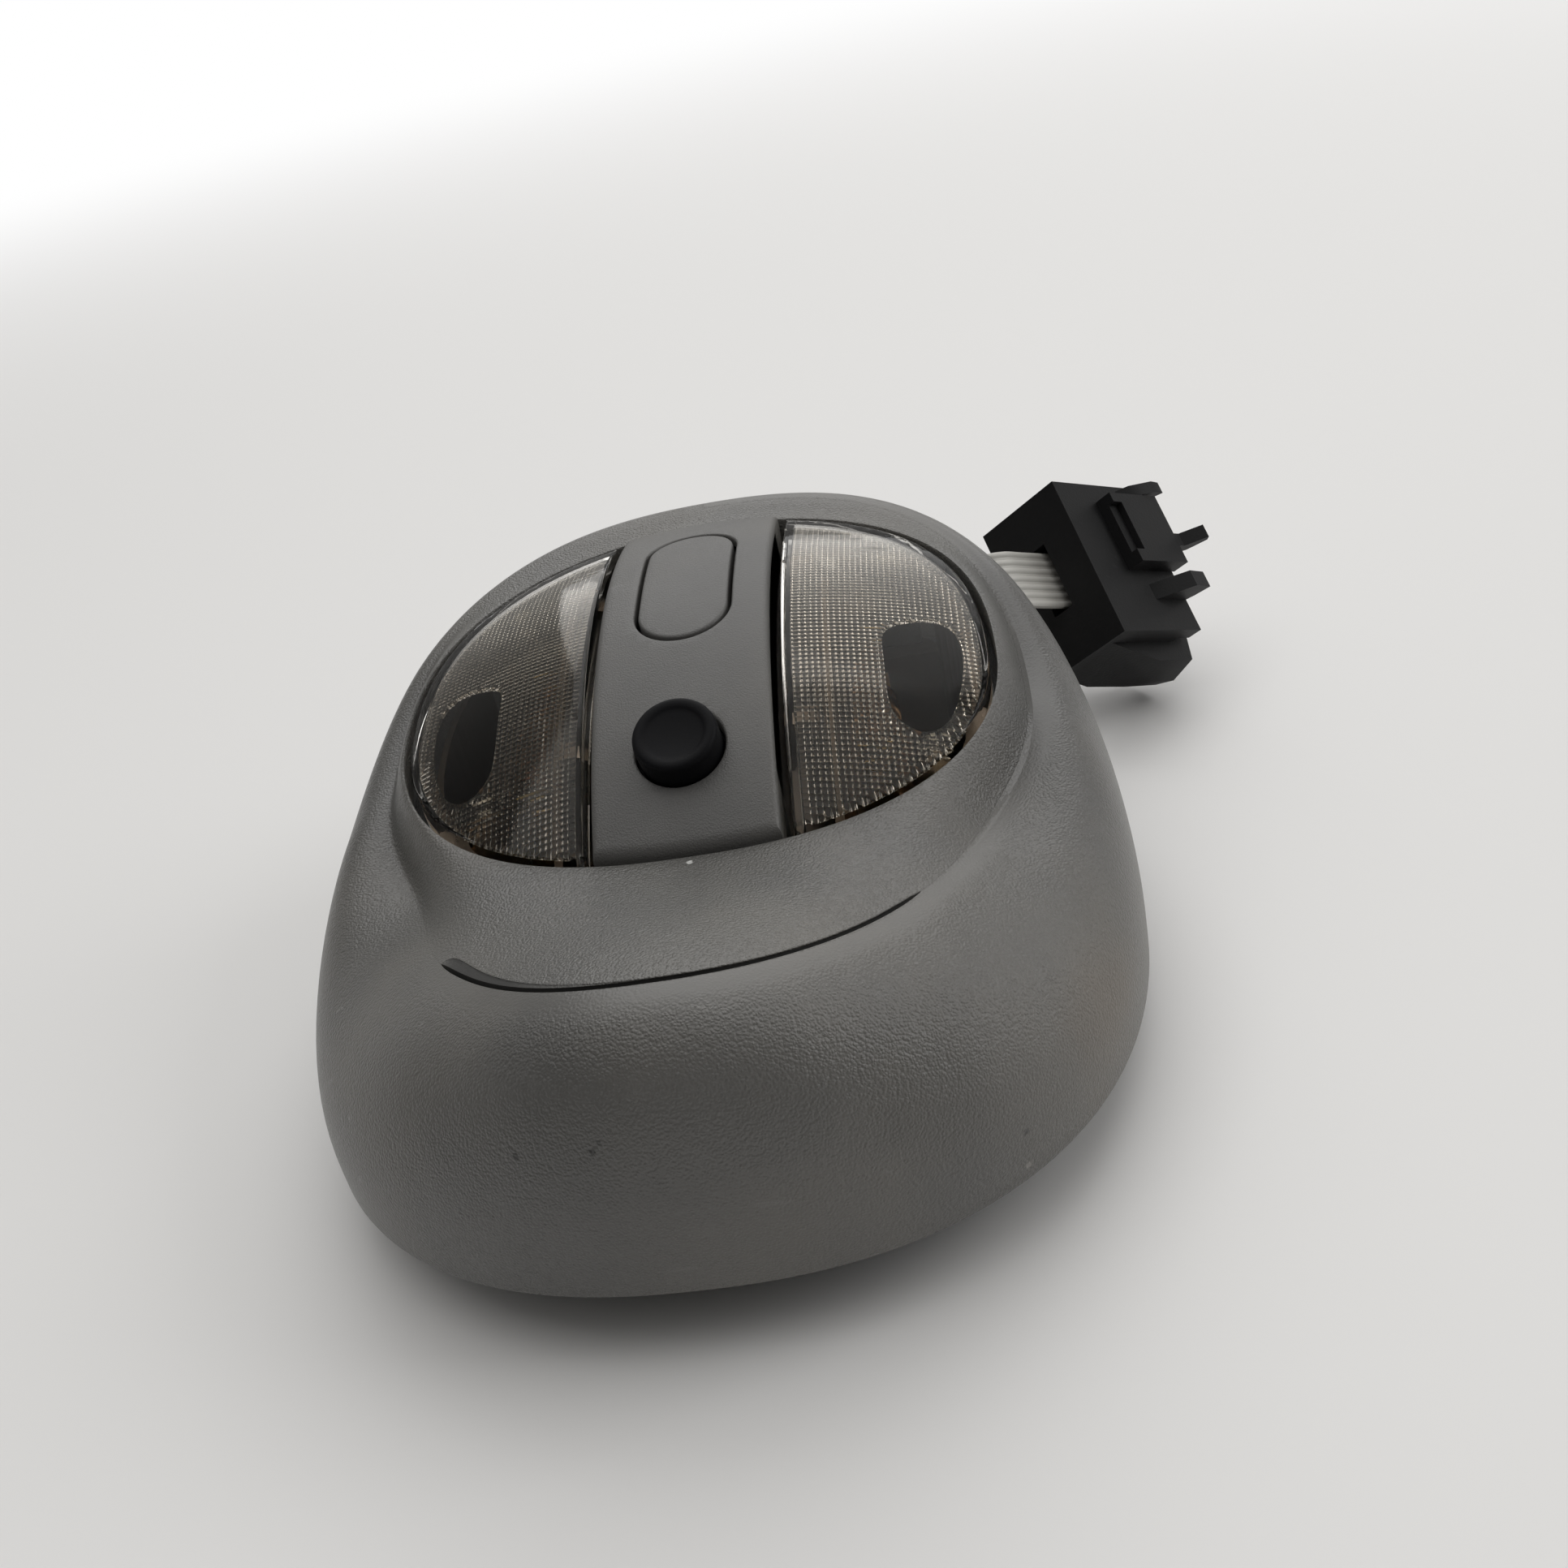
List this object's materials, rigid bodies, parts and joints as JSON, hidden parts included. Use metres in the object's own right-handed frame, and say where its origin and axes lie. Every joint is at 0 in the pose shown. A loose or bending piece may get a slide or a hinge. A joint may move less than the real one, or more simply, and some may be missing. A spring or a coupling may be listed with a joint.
{
  "type": "car dome light",
  "caption": "Moulded roof lamp for a car interior: domed twin lenses each side of a panel with a push button, a crescent slot in front, and a flat cable with a plug.",
  "frame": {"origin": "middle of the light across and along, on the face that meets the roof frame (z = 0)", "axes": "+X to the side where the cable leaves, +Y to the rear end, +Z out of the roof into the cabin; the light lies on its back"},
  "size_m": [0.1766, 0.2012, 0.0694],
  "materials": {
    "housing_grey": "fine leather grain, matt",
    "panel_grey": "fine spark texture, matt",
    "knob_black": "satin",
    "switch_cream": "satin",
    "lens_clear": "clear, prisms on the inside",
    "pin_steel": "ground",
    "reflector_plating": "vacuum plated",
    "holder_black": "satin",
    "bulb_glass": "clear",
    "clip_brass": "rolled strip",
    "board_green": "lacquered laminate",
    "screw_steel": "zinc plated",
    "body_black": "matt",
    "clip_steel": "spring strip",
    "ribbon_grey": "soft, satin",
    "plug_black": "satin"
  },
  "bodies": {
    "lamp": {"housing": "housing_grey", "centre_panel": "panel_grey", "oval_blank": "panel_grey", "switch_body": "switch_cream", "hinge_pin_left": "pin_steel", "hinge_pin_right": "pin_steel", "reflector_left": "reflector_plating", "reflector_right": "reflector_plating", "lens_switch_left": "holder_black", "lens_switch_right": "holder_black", "reading_bulb_left": "bulb_glass", "reading_bulb_right": "bulb_glass", "bulb_holder_left": "holder_black", "bulb_holder_right": "holder_black", "courtesy_bulb_left": "bulb_glass", "courtesy_bulb_right": "bulb_glass", "bulb_clips_left": "clip_brass", "bulb_clips_right": "clip_brass", "circuit_board": "board_green", "board_screws": "screw_steel", "cable_header": "holder_black", "lamp_body": "body_black", "body_screws": "screw_steel", "roof_clip_left": "clip_steel", "roof_clip_right": "clip_steel", "ribbon_cable": "ribbon_grey", "plug_shell": "plug_black", "plug_terminals": "clip_brass"},
    "button": {"push_button": "knob_black"},
    "lens_left": {"lens_left": "lens_clear"},
    "lens_right": {"lens_right": "lens_clear"},
    "plunger_left": {"lens_plunger_left": "switch_cream"},
    "plunger_right": {"lens_plunger_right": "switch_cream"}
  },
  "joints": [
    {"name": "button_press", "type": "slide", "parent": "lamp", "child": "button", "axis": [0, 0.4664, -0.8846], "range_m": [0, 0.003], "stiffness_N_per_m": 600},
    {"name": "lens_right_press", "type": "hinge", "parent": "lamp", "child": "lens_right", "pos_m": [0.02, 0.022, 0.054], "axis": [0, 0.9781, 0.2079], "range_deg": [0, 2.2], "stiffness_Nm_per_rad": 2},
    {"name": "lens_left_press", "type": "hinge", "parent": "lamp", "child": "lens_left", "pos_m": [-0.02, 0.022, 0.054], "axis": [0, -0.9781, -0.2079], "range_deg": [0, 2.2], "stiffness_Nm_per_rad": 2},
    {"name": "plunger_right_slide", "type": "slide", "parent": "lamp", "child": "plunger_right", "axis": [0, 0, -1], "range_m": [0, 0.0007]},
    {"name": "plunger_left_slide", "type": "slide", "parent": "lamp", "child": "plunger_left", "axis": [0, 0, -1], "range_m": [0, 0.0007]}
  ],
  "couplings": [
    {"joint": "plunger_right_slide", "follows": "lens_right_press", "m_per_rad": 0.015},
    {"joint": "plunger_left_slide", "follows": "lens_left_press", "m_per_rad": 0.015}
  ]
}
